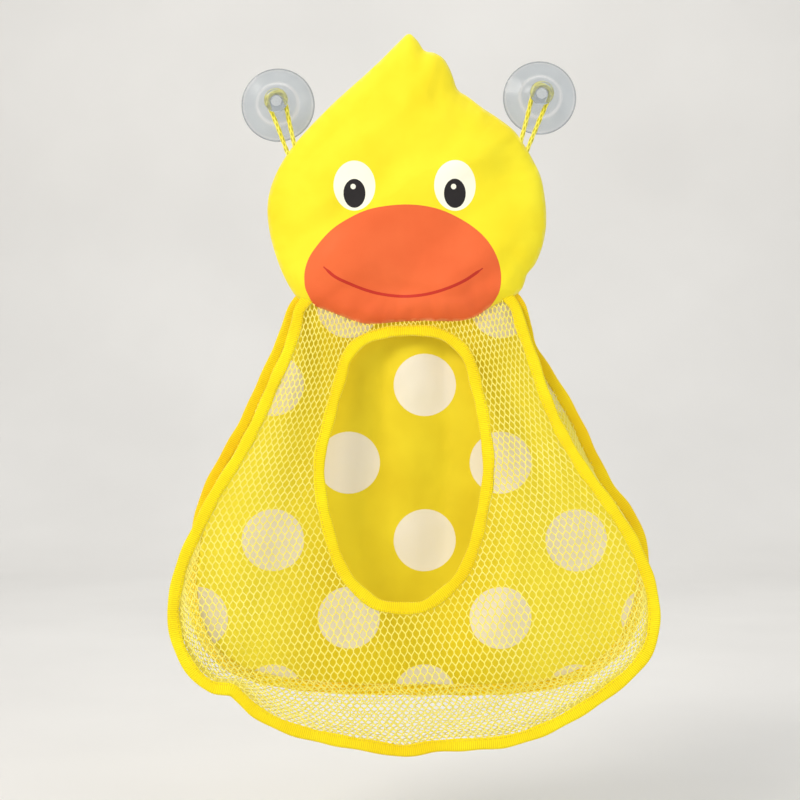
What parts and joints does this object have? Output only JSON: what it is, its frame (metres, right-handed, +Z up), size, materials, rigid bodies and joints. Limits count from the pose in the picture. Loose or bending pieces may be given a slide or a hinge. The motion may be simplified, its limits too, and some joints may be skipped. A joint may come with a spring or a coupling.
{
  "type": "bath toy organizer",
  "caption": "Hanging mesh bag for bath toys with a padded duck head, an oval mouth and a cloth back, hung by cord loops from suction cups on a smooth wall.",
  "frame": {"origin": "on the wall plane, midway between the centres of the two suction cups", "axes": "+Z up, +X to the right of someone facing the wall, +Y into the wall; the bag hangs on the -Y side of y = 0"},
  "size_m": [0.2864, 0.084, 0.4258],
  "materials": {
    "clear_pvc": "clear soft PVC with a polished moulded surface",
    "yellow_cord": "round braided polyester cord",
    "yellow_cloth": "printed woven polyester, lightly puckered at the seam",
    "foam": "soft foam sheet",
    "orange_print": "printed woven polyester",
    "red_print": "printed woven polyester",
    "white_print": "printed woven polyester",
    "black_print": "printed woven polyester",
    "dotted_cloth": "woven polyester printed with round white dots",
    "yellow_net": "knitted polyester net with hexagonal holes",
    "binding_tape": "ribbed polyester binding tape folded over the edges"
  },
  "bodies": {
    "wall_cups": {"suction_cup_left": "clear_pvc", "suction_cup_right": "clear_pvc"},
    "head": {"cord_loop_left": "yellow_cord", "cord_loop_right": "yellow_cord", "head_front_panel": "yellow_cloth", "head_foam_sheet": "foam", "head_back_panel": "yellow_cloth", "bill": "orange_print", "smile": "red_print", "eye_white_left": "white_print", "pupil_left": "black_print", "eye_glint_left": "white_print", "eye_white_right": "white_print", "pupil_right": "black_print", "eye_glint_right": "white_print"},
    "bag": {"back_panel": "dotted_cloth", "front_net": "yellow_net", "gusset_net": "yellow_net", "mouth_binding": "binding_tape", "front_edge_binding": "binding_tape", "back_edge_binding": "binding_tape"}
  },
  "joints": [
    {"name": "hang_swing", "type": "hinge", "parent": "wall_cups", "child": "head", "pos_m": [0, -0.0125, 0.0033], "axis": [-0.9996, 0, -0.0273], "range_deg": [0, 12]},
    {"name": "neck_fold", "type": "hinge", "parent": "head", "child": "bag", "pos_m": [0, -0.0138, -0.1376], "axis": [-1, 0, 0], "range_deg": [0, 25]}
  ]
}
